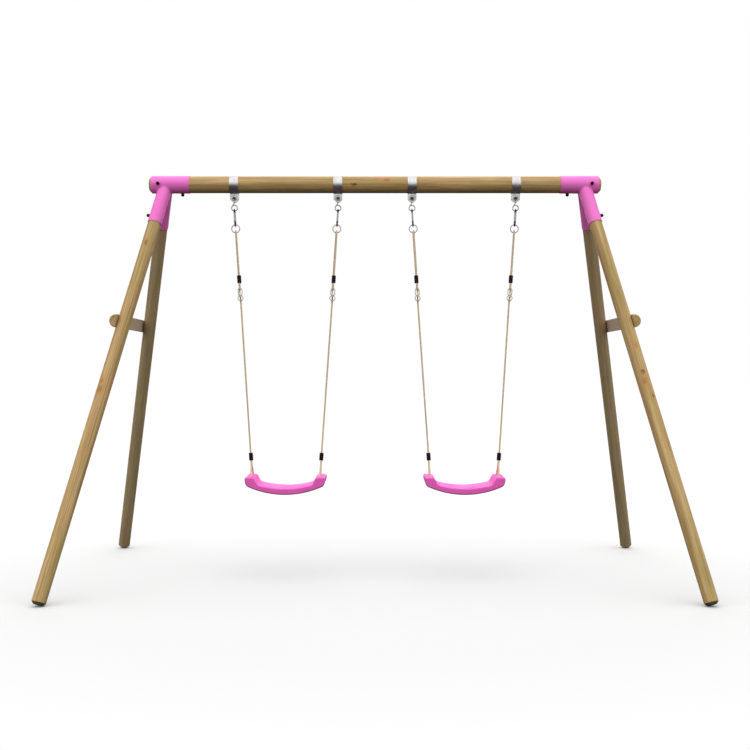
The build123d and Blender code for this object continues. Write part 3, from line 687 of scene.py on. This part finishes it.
def spun(profile, steps):
    """A closed solid of revolution about Z, from a profile of (radius, height) points."""
    shape = bmesh.new()
    verts = [shape.verts.new((radius, 0.0, height)) for radius, height in profile]
    edges = [shape.edges.new(pair) for pair in zip(verts, verts[1:])]
    bmesh.ops.spin(
        shape,
        geom=verts + edges,
        cent=(0, 0, 0),
        axis=(0, 0, 1),
        angle=2 * pi,
        steps=steps,
        use_merge=True,
    )
    bmesh.ops.remove_doubles(shape, verts=shape.verts, dist=SAME_PLACE)
    for facet in shape.faces:
        facet.smooth = True
    return shape


def arc(centre, radius, start, end, steps):
    """Points of a round stretch of a profile, angles in degrees."""
    return [
        (
            centre[0] + radius * cos(radians(start + (end - start) * i / steps)),
            centre[1] + radius * sin(radians(start + (end - start) * i / steps)),
        )
        for i in range(steps + 1)
    ]


# ---------------------------------------------------------------- ropes
ROPE_LAY = 0.036
STRAND_RADIUS = 0.0026
STRAND_OFFSET = 0.00255
STEPS_PER_TURN = 14
ROUTE_RESOLUTION = 16
LEAST_LAST_STEP = 0.3
CORD_PATH_STEP = 0.003
TUBE_RESOLUTION = 2
FERRULE_LENGTH = 0.044
FERRULE_RADIUS = 0.0118
UPPER_FERRULE = (-0.002, -0.0116, -0.382)
LOWER_FERRULE = (0.0, 0.0, -1.368)
FERRULE_ROUNDING = 0.0045
CRIMP_PLACES = (-0.010, 0.0, 0.010)
CRIMP_DEPTH = 0.0006
CRIMP_HALF = 0.0035
CRIMP_FLAT_HALF = 0.0015

# From the lower sleeve through the seat's end block and up again, through the adjuster,
# over the ring, and back down round the adjuster's top. Metres below the swing's axis.
ROPE_ROUTE = (
    (0.0, 0.0056, -1.348),
    (0.0, 0.0056, -1.411),
    (0.0, 0.0525, -1.4665),
    (0.0, 0.0525, -1.5235),
    (0.0, -0.0525, -1.5235),
    (0.0, -0.0525, -1.4665),
    (0.0, -0.0056, -1.411),
    (0.0, -0.0056, -1.336),
    (-0.0018, -0.0036, -0.555),
    (-0.002, -0.0034, -0.4931),
    (-0.002, -0.0262, -0.472),
    (0.002, 0.0072, -0.4409),
    (0.002, 0.0075, -0.384),
    (0.002, 0.0088, -0.174),
    (0.002, 0.0108, -0.111),
    (-0.002, -0.0108, -0.111),
    (-0.002, -0.0088, -0.174),
    (-0.002, -0.006, -0.300),
    (-0.002, -0.006, -0.356),
    (-0.002, -0.006, -0.407),
    (-0.002, -0.0022, -0.4405),
    (-0.002, -0.0210, -0.4405),
    (-0.002, -0.0172, -0.407),
    (-0.002, -0.0172, -0.362),
)


def rope_matrix(side, place):
    """Places a rope's own frame: its origin on the swing's axis, Z up along the rope."""
    low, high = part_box(f"{side}_{place}_strap")
    axis = joints[f"{side}_hook_swing"]["pos_m"]
    gate_axis = Vector(joints[f"{side}_{place}_gate_hinge"]["axis"])
    origin = Vector(((low[0] + high[0]) / 2, 0.0, axis[2]))
    along = gate_axis.cross(Vector((0, 1, 0)))
    rotation = Matrix((gate_axis, (0, 1, 0), along)).transposed().to_4x4()
    return Matrix.Translation(origin) @ rotation


def spline_points(points, name):
    """Points read along a smooth spline through a route's control points."""
    curve = bpy.data.curves.new(name, "CURVE")
    curve.dimensions = "3D"
    curve.resolution_u = ROUTE_RESOLUTION
    spline = curve.splines.new("NURBS")
    spline.points.add(len(points) - 1)
    for knot, point in zip(spline.points, points):
        knot.co = (*point, 1.0)
    spline.order_u = 3
    spline.use_endpoint_u = True
    holder = bpy.data.objects.new(name, curve)
    mesh = bpy.data.meshes.new_from_object(holder)
    line = [v.co.copy() for v in mesh.vertices]
    bpy.data.objects.remove(holder)
    bpy.data.curves.remove(curve)
    bpy.data.meshes.remove(mesh)
    return line


def even_points(line, step):
    """The same line with points at even distances."""
    result = [line[0]]
    left = step
    for a, b in zip(line, line[1:]):
        span = (b - a).length
        if span == 0:
            continue
        at = left
        while at < span:
            result.append(a.lerp(b, at / span))
            at += step
        left = at - span
    if (line[-1] - result[-1]).length > step * LEAST_LAST_STEP:
        result.append(line[-1])
    return result


def tubes(name, lines, radius):
    """Round tubes along lines of points, as one mesh with closed ends."""
    curve = bpy.data.curves.new(name, "CURVE")
    curve.dimensions = "3D"
    curve.bevel_depth = radius
    curve.bevel_resolution = TUBE_RESOLUTION
    curve.use_fill_caps = True
    for line in lines:
        spline = curve.splines.new("POLY")
        spline.points.add(len(line) - 1)
        for knot, point in zip(spline.points, line):
            knot.co = (*point, 1.0)
        spline.use_smooth = True
    holder = bpy.data.objects.new(name, curve)
    mesh = bpy.data.meshes.new_from_object(holder)
    bpy.data.objects.remove(holder)
    bpy.data.curves.remove(curve)
    return mesh


def laid_strands(line):
    """Three strands that wind round a line, as lists of points."""
    step = ROPE_LAY / STEPS_PER_TURN
    line = even_points(line, step)
    strands = ([], [], [])
    across = Vector((1, 0, 0))
    for i, point in enumerate(line):
        ahead = (line[min(i + 1, len(line) - 1)] - line[max(i - 1, 0)]).normalized()
        across = (across - ahead * across.dot(ahead)).normalized()
        turn = 2 * pi * i / STEPS_PER_TURN
        for k, strand in enumerate(strands):
            spoke = Quaternion(ahead, turn + 2 * pi * k / 3) @ across
            strand.append(point + spoke * STRAND_OFFSET)
    return strands


def crimped_sleeve():
    """A moulded sleeve closed round two strands: round ends and three shallow crimps."""
    half, radius, rounding = FERRULE_LENGTH / 2, FERRULE_RADIUS, FERRULE_ROUNDING
    crimps = []
    for middle in CRIMP_PLACES:
        crimps += [(radius, middle - CRIMP_HALF), (radius - CRIMP_DEPTH, middle - CRIMP_FLAT_HALF)]
        crimps += [(radius - CRIMP_DEPTH, middle + CRIMP_FLAT_HALF), (radius, middle + CRIMP_HALF)]
    profile = [(0.0, -half), *arc((radius - rounding, rounding - half), rounding, -90, 0, 5)]
    profile += crimps
    profile += [*arc((radius - rounding, half - rounding), rounding, 0, 90, 5), (0.0, half)]
    return spun(profile, 36)


for side, sign in SIDES.items():
    mirrored = Matrix.Diagonal((sign, 1, 1, 1))
    for place in PLACES:
        name = f"{side}_{place}"
        to_frame = rope_matrix(side, place)
        for level, (x, y, z) in (("upper", UPPER_FERRULE), ("lower", LOWER_FERRULE)):
            shape = crimped_sleeve()
            shape.transform(to_frame @ Matrix.Translation((sign * x, y, z)))
            finish_piece(
                    f"{name}_{level}_crimped_sleeve",
                    shape,
                    black,
                    f"{side}_swing",
                    (f"{name}_{level}_ferrule",),
                )
        route = [to_frame @ mirrored @ Vector(point) for point in ROPE_ROUTE]
        line = spline_points(route, f"{name} route")
        mesh = tubes(f"{name}_laid_rope", laid_strands(line), STRAND_RADIUS)
        rope = place_piece(
            f"{name}_laid_rope", mesh, rope_fibre, f"{side}_swing", (f"{name}_rope",)
        )
        even_points(line, CORD_PATH_STEP)


# ---------------------------------------------------------------- seats
SEAT_DEPTH = 0.196
SEAT_TILT = radians(1.3)
SEAT_THICKNESS = 0.034
SEAT_HALF = 0.2205
SEAT_FOOT_HALF = 0.2095
SEAT_RISE = 0.0465
SEAT_SIDE_FOOT = 0.034
BLOCK_HEIGHT = 0.061
BLOCK_INNER_TOP = 0.171
BLOCK_INNER_FOOT = 0.148
BLOCK_FOOT_RISE = 0.0205
SEAT_WALL = 0.005
SEAT_ROUND = 0.009
SEAT_EDGE = 0.0065
HOLLOW_DEPTH = 0.028
HOLLOW_END = 0.006
RIB_THICKNESS = 0.003
RIB_PLACES = (-0.15, -0.10, -0.05, 0.0, 0.05, 0.10, 0.15)
RIB_SET_BACK = 0.003
SPINE_HEIGHT = 0.026
ARC_STEPS = 20
BEVEL_SEGMENTS = 5
KINK_ANGLE = 0.25
UNDERSIDE_FACING = -0.6
UNDERSIDE_MARGIN = 0.001
SMALLEST_UNDERSIDE_FACE = 0.0005
LARGEST_SMOOTH_FACE = 0.004


def arc_height(x, half, rise):
    """How far an arc that is lowest in the middle has risen at x."""
    radius = (half**2 + rise**2) / (2 * rise)
    return radius - (radius**2 - x**2) ** 0.5


def rising_arc(half, middle, rise):
    """Points of such an arc, from one end to the other."""
    points = []
    for i in range(ARC_STEPS + 1):
        x = -half + 2 * half * i / ARC_STEPS
        points.append((x, middle + arc_height(x, half, rise)))
    return points


def underside_height(x):
    return -SEAT_THICKNESS + arc_height(x, SEAT_FOOT_HALF, SEAT_RISE)


def moved(shape, geom, offset):
    """Moves the vertices among what an operator gave."""
    verts = [v for v in geom if isinstance(v, bmesh.types.BMVert)]
    bmesh.ops.translate(shape, vec=offset, verts=verts)


def rounded(shape, edges, offset):
    bmesh.ops.bevel(
        shape,
        geom=edges,
        offset=offset,
        segments=BEVEL_SEGMENTS,
        profile=0.5,
        affect="EDGES",
        material=-1,
    )


def seat_shape():
    """One seat about its own middle: a curved tray with raised end blocks, ribbed beneath."""
    shape = bmesh.new()
    top = rising_arc(BLOCK_INNER_FOOT, 0.0, BLOCK_FOOT_RISE)
    bottom = rising_arc(SEAT_FOOT_HALF, -SEAT_THICKNESS, SEAT_RISE)
    right = [
        (BLOCK_INNER_TOP, BLOCK_HEIGHT),
        (SEAT_HALF, BLOCK_HEIGHT),
        (SEAT_HALF, SEAT_SIDE_FOOT),
    ]
    left = [(-x, z) for x, z in reversed(right)]
    outline = top + right + bottom[::-1] + left
    front = [shape.verts.new((x, -SEAT_DEPTH / 2, z)) for x, z in outline]
    sheet = shape.faces.new(front)
    grown = bmesh.ops.extrude_face_region(shape, geom=[sheet])["geom"]
    moved(shape, grown, (0, SEAT_DEPTH, 0))
    bmesh.ops.recalc_face_normals(shape, faces=shape.faces)

    # Round the kinks of the outline first, then both rims
    kinks = [
        e
        for e in shape.edges
        if abs(e.verts[0].co.y - e.verts[1].co.y) > SEAT_DEPTH / 2
        and e.calc_face_angle(0) > KINK_ANGLE
    ]
    rounded(shape, kinks, SEAT_ROUND)
    rims = [
        e
        for e in shape.edges
        if abs(e.verts[0].co.y - e.verts[1].co.y) < SAME_PLACE
        and abs(e.verts[0].co.y) > SEAT_DEPTH / 2 - SAME_PLACE
    ]
    rounded(shape, rims, SEAT_EDGE)

    # Hollow the underside
    shape.normal_update()
    under = []
    for facet in shape.faces:
        middle = facet.calc_center_median()
        if (
            facet.normal.z < UNDERSIDE_FACING
            and middle.z < underside_height(middle.x) + UNDERSIDE_MARGIN
            and abs(middle.x) < SEAT_FOOT_HALF - HOLLOW_END
            and len(facet.verts) == 4
            and facet.calc_area() > SMALLEST_UNDERSIDE_FACE
        ):
            under.append(facet)
    bmesh.ops.inset_region(shape, faces=under, thickness=SEAT_WALL, use_even_offset=True)
    deep = bmesh.ops.extrude_face_region(shape, geom=under)["geom"]
    moved(shape, deep, (0, 0, HOLLOW_DEPTH))
    bmesh.ops.delete(shape, geom=under, context="FACES")

    # Ribs across and one along
    for x in RIB_PLACES:
        low = underside_height(x) + RIB_SET_BACK
        high = low + SEAT_THICKNESS - SEAT_WALL - RIB_SET_BACK
        size = (RIB_THICKNESS, SEAT_DEPTH - 3 * SEAT_WALL, high - low)
        placed = Matrix.Translation((x, 0, (low + high) / 2)) @ Matrix.Diagonal((*size, 1))
        bmesh.ops.create_cube(shape, size=1.0, matrix=placed)
    spine = []
    reach = RIB_PLACES[-1]
    for i in range(ARC_STEPS + 1):
        x = -reach + 2 * reach * i / ARC_STEPS
        low = underside_height(x) + RIB_SET_BACK
        ends = [shape.verts.new((x, 0, z)) for z in (low, low + SPINE_HEIGHT)]
        spine.append(ends)
    strip = [shape.faces.new((a[0], b[0], b[1], a[1])) for a, b in zip(spine, spine[1:])]
    bmesh.ops.solidify(shape, geom=strip, thickness=RIB_THICKNESS)
    for facet in shape.faces:
        facet.smooth = facet.calc_area() < LARGEST_SMOOTH_FACE
    return shape


for side, sign in SIDES.items():
    low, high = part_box(f"{side}_seat")
    drop = SEAT_THICKNESS * cos(SEAT_TILT) + SEAT_DEPTH / 2 * sin(SEAT_TILT)
    middle = Vector(((low[0] + high[0]) / 2, 0.0, low[2] + drop))
    shape = seat_shape()
    shape.transform(Matrix.Translation(middle) @ Matrix.Rotation(SEAT_TILT, 4, "X"))
    finish_piece(
        f"{side}_moulded_seat",
        shape,
        seat_plastic,
        f"{side}_swing",
        (f"{side}_seat",),
    )


# ---------------------------------------------------------------- bracket welds
SOCKET_RADIUS = 0.03815
SLEEVE_RADIUS = 0.04815
WELD_RADIUS = 0.0026
WELD_RIPPLE = 0.10
RIPPLE_WAVES = (1300.0, 1500.0)
WELD_STEPS = 96
SADDLE_GAP = 0.001
beam_low, beam_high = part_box("beam")
beam_z = (beam_low[2] + beam_high[2]) / 2


def weld_mesh(name, line):
    """A bead of weld metal along a line, rippled as it was laid."""
    mesh = tubes(name, [line], WELD_RADIUS)
    for vertex in mesh.vertices:
        ripple = sin(vertex.co.y * RIPPLE_WAVES[1]) * sin(vertex.co.x * RIPPLE_WAVES[0])
        vertex.co += vertex.normal * WELD_RADIUS * WELD_RIPPLE * ripple
    return mesh


def socket_rim(side, face, count):
    """A leg socket's direction, and points round its wall where its axis meets the beam's."""
    foot = mounts[f"{side}_{face}_foot"]
    along = Vector(foot["axis"])
    start = Vector(foot["pos_m"])
    start -= along * (start.y / along.y)
    across = Vector((0, 1, 0)).cross(along).normalized()
    other = along.cross(across)
    rim = []
    for i in range(count):
        turn = 2 * pi * i / WELD_STEPS
        rim.append(start + (across * cos(turn) + other * sin(turn)) * SOCKET_RADIUS)
    return along, rim


def opened(line):
    """The same points of an open line, turned so that it starts after its widest gap."""
    gap = max(range(len(line)), key=lambda i: (line[i] - line[i - 1]).length)
    return line[gap:] + line[:gap]


def saddle_line(side, face):
    """The line where a leg socket meets the beam's sleeve, on the socket's side of the beam."""
    along, rim = socket_rim(side, face, WELD_STEPS)
    line = []
    for corner in rim:
        y, z = corner.y, corner.z - beam_z
        a = along.y**2 + along.z**2
        b = 2 * (y * along.y + z * along.z)
        c = y**2 + z**2 - SLEEVE_RADIUS**2
        reach = (-b + (b * b - 4 * a * c) ** 0.5) / (2 * a)
        point = corner + along * reach
        if point.y * FACES[face] > SADDLE_GAP:
            line.append(point)
    return opened(line)


def crotch_line(side):
    """The seam between a bracket's two sockets, from the sleeve down to where they part."""
    along, rim = socket_rim(side, "front", WELD_STEPS + 1)
    line = []
    for corner in rim:
        point = corner - along * (corner.y / along.y)
        if point.z < beam_z and (point.z - beam_z) ** 2 > SLEEVE_RADIUS**2:
            line.append(point)
    return opened(line)


for side in SIDES:
    seams = {f"{side}_{face}_saddle_weld": saddle_line(side, face) for face in FACES}
    seams[f"{side}_crotch_weld"] = crotch_line(side)
    for name, line in seams.items():
        place_piece(name, weld_mesh(name, line), powder, "frame")


# ---------------------------------------------------------------- strap details
EAR_FACE = 0.0068
DARK_OVAL_HALF = (0.0092, 0.0056)
DARK_OVAL_SINK = 0.001
DARK_OVAL_STAND = 0.0022
DARK_OVAL_EDGE = 0.0012
DARK_OVAL_CROWN = 0.0003
HEAD_RADIUS = 0.0108
HEAD_ROUNDING = 0.003
HEAD_CROWN = 0.0006
HEAD_FOOT = 0.0012
HEAD_CLEARANCE = 0.0004
BOSS_FOOT = ((0.0155, 0.0), (0.0152, 0.0007))
BOSS_CREST = ((0.0128, 0.0), 0.0016)
BOSS_INNER_RADIUS = 0.0116
HOOK_WIRE = 0.0065
HOOK_LOWER_RADIUS = 0.01575
HOOK_OPEN_ANGLE = 85.0
CLOSING_TURN = 37.0
bolt_low, bolt_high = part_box("hanger_bolts")
ear_bolt_z = (bolt_low[2] + bolt_high[2]) / 2
head_height = -bolt_low[1] - EAR_FACE + HEAD_CLEARANCE


def dome_head():
    """A round cover over a bolt head, on a pressed boss."""
    boss = [*BOSS_FOOT, *arc(*BOSS_CREST, 40, 90, 3), (BOSS_INNER_RADIUS, HEAD_FOOT)]
    shoulder = (HEAD_RADIUS - HEAD_ROUNDING, head_height - HEAD_ROUNDING)
    rim = arc(shoulder, HEAD_ROUNDING, 0, 90, 5)
    return spun([*boss, (HEAD_RADIUS, HEAD_FOOT), *rim, (0.0, head_height + HEAD_CROWN)], 40)


def head_painted_reflection():
    """A shallow black oval on a bolt head: a painted reflection, standing in for the dark ground
    that the domed head reflects.
    """
    low, high = head_height - DARK_OVAL_SINK, head_height + DARK_OVAL_STAND
    wall = [(0.0, low), (1.0, low), (1.0, high - DARK_OVAL_EDGE)]
    crown = [(0.94, high - DARK_OVAL_EDGE / 3), (0.8, high), (0.0, high + DARK_OVAL_CROWN)]
    shape = spun(wall + crown, 32)
    shape.transform(Matrix.Diagonal((*DARK_OVAL_HALF, 1, 1)))
    return shape


def hook_closing():
    """The end of an S-hook's lower eye, pressed shut against its shank."""
    shape = bmesh.new()
    start = Matrix.Translation((HOOK_LOWER_RADIUS, 0, 0))
    bmesh.ops.create_circle(
        shape, cap_ends=True, segments=20, radius=HOOK_WIRE / 2, matrix=start
    )
    bmesh.ops.spin(
        shape,
        geom=[*shape.verts, *shape.edges, *shape.faces],
        cent=(0, 0, 0),
        axis=(0, -1, 0),
        angle=radians(CLOSING_TURN),
        steps=12,
    )
    shape.transform(Matrix.Rotation(-radians(HOOK_OPEN_ANGLE), 4, "Y"))
    for facet in shape.faces:
        facet.smooth = len(facet.verts) == 4
    return shape


for side in SIDES:
    for place in PLACES:
        low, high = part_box(f"{side}_{place}_strap")
        x = (low[0] + high[0]) / 2
        to_ear = Matrix.Translation((x, -EAR_FACE, ear_bolt_z))
        to_ear = to_ear @ Matrix.Rotation(radians(90), 4, "X")
        shape = dome_head()
        shape.transform(to_ear)
        finish_piece(f"{side}_{place}_bolt_head", shape, galvanised, "frame")
        # A black oval on each head: painted reflection
        shape = head_painted_reflection()
        shape.transform(to_ear)
        finish_piece(f"{side}_{place}_head_plug", shape, black, "frame")
        eye_z = joints[f"{side}_hook_swing"]["pos_m"][2] + HOOK_LOWER_RADIUS
        shape = hook_closing()
        shape.transform(Matrix.Translation((x, 0, eye_z)))
        finish_piece(f"{side}_{place}_hook_closing", shape, bright, "frame")


# ---------------------------------------------------------------- floor, light and camera
FLOOR_HALF = 60.0
FLOOR_PAINTED_SHADOW = (0.755, 0.755, 0.755)
FLOOR_FAR = (0.81, 0.81, 0.81)
FLOOR_SHADOW_SHIFT = (0.0, 0.9, 0.0)
FLOOR_SHADOW_SHAPE = (0.6, 1.0, 1.0)
FLOOR_SHADOW_REACH = (0.6, 2.8)
CARD_HALF = 40.0
CARD_HEIGHT = 0.0004
CARD_DARK = (0.05, 0.048, 0.046, 1.0)
WORLD_WHITE = (1.0, 1.0, 1.0, 1.0)
WORLD_LIGHT = 0.46
LAMP_PLACE = (0.0, 0.0, 4.0)
CAMERA_LENS = 50.0
CAMERA_SENSOR = 36.0
CAMERA_PLACE = (0.0, -5.787, 1.099)
scene.view_settings.view_transform = "Standard"


def flat_stage(name, size, height, material):
    """A flat square that belongs to the stage, not to the part."""
    shape = bmesh.new()
    bmesh.ops.create_grid(shape, x_segments=1, y_segments=1, size=size)
    bmesh.ops.translate(shape, vec=(0, 0, height), verts=shape.verts)
    mesh = bpy.data.meshes.new(name)
    shape.to_mesh(mesh)
    shape.free()
    mesh.materials.append(material)
    stage = bpy.data.objects.new(name, mesh)
    scene.collection.objects.link(stage)
    return stage


# The floor is painted darker in a broad patch round and in front of the set: a painted shadow that
# fades to the plain pale colour further out
pale, nodes, shader = new_material("pale studio floor")
shadow_place = nodes.vector("ADD", object_coordinates(nodes), FLOOR_SHADOW_SHIFT)
shadow_place = nodes.vector("MULTIPLY", shadow_place, FLOOR_SHADOW_SHAPE)
spread = nodes.remap(nodes.vector("LENGTH", shadow_place), *FLOOR_SHADOW_REACH)
nodes.feed(nodes.mix(spread, FLOOR_PAINTED_SHADOW, FLOOR_FAR), shader.inputs["Base Color"])
shader.inputs["Roughness"].default_value = 1.0
shader.inputs["Specular IOR Level"].default_value = 0.0
flat_stage("floor", FLOOR_HALF, 0.0, pale)

# A dark card just over the floor keeps its white light off the undersides. Only light that
# comes down on it meets it, so the floor below it is lit as if it weren't there.
card_finish, nodes, shader = new_material("dark card")
shader.inputs["Base Color"].default_value = CARD_DARK
shader.inputs["Roughness"].default_value = 1.0
shader.inputs["Specular IOR Level"].default_value = 0.0
blend = nodes.add("ShaderNodeMixShader")
nodes.feed(nodes.add("ShaderNodeNewGeometry").outputs["Backfacing"], blend.inputs[0])
nodes.feed(shader.outputs[0], blend.inputs[1])
nodes.feed(nodes.add("ShaderNodeBsdfTransparent").outputs[0], blend.inputs[2])
card_surface = card_finish.node_tree.nodes["Material Output"].inputs["Surface"]
nodes.feed(blend.outputs[0], card_surface)
card = flat_stage("shade_card", CARD_HALF, CARD_HEIGHT, card_finish)
card.visible_camera = False
card.visible_shadow = False

world = bpy.data.worlds.new("studio")
scene.world = world
world.use_nodes = True
sky = Nodes(world.node_tree)
light_path = sky.add("ShaderNodeLightPath").outputs
seen = sky.math("MAXIMUM", light_path["Is Camera Ray"], light_path["Is Glossy Ray"])
seen = sky.math("MAXIMUM", seen, light_path["Is Transmission Ray"])
background = world.node_tree.nodes["Background"]
background.inputs["Color"].default_value = WORLD_WHITE
glow = sky.remap(seen, 0.0, 1.0, WORLD_LIGHT, 1.0, smooth=False)
sky.feed(glow, background.inputs["Strength"])


def soft_sun(name, energy, spread, lean):
    """A broad even light from above, leaning to the front (or to the back, below zero)."""
    lamp = bpy.data.lights.new(name, "SUN")
    lamp.energy = energy
    lamp.angle = radians(spread)
    sun = bpy.data.objects.new(name, lamp)
    sun.location = LAMP_PLACE
    sun.rotation_euler = (radians(lean), 0.0, 0.0)
    scene.collection.objects.link(sun)


soft_sun("overhead_light", energy=2.5, spread=110.0, lean=25.0)
soft_sun("rear_fill_light", energy=0.8, spread=60.0, lean=-65.0)

camera = bpy.data.objects.new("camera", bpy.data.cameras.new("camera"))
camera.data.lens = CAMERA_LENS
camera.data.sensor_width = CAMERA_SENSOR
camera.location = CAMERA_PLACE
camera.rotation_euler = (radians(90.0), 0.0, 0.0)
scene.collection.objects.link(camera)
scene.camera = camera
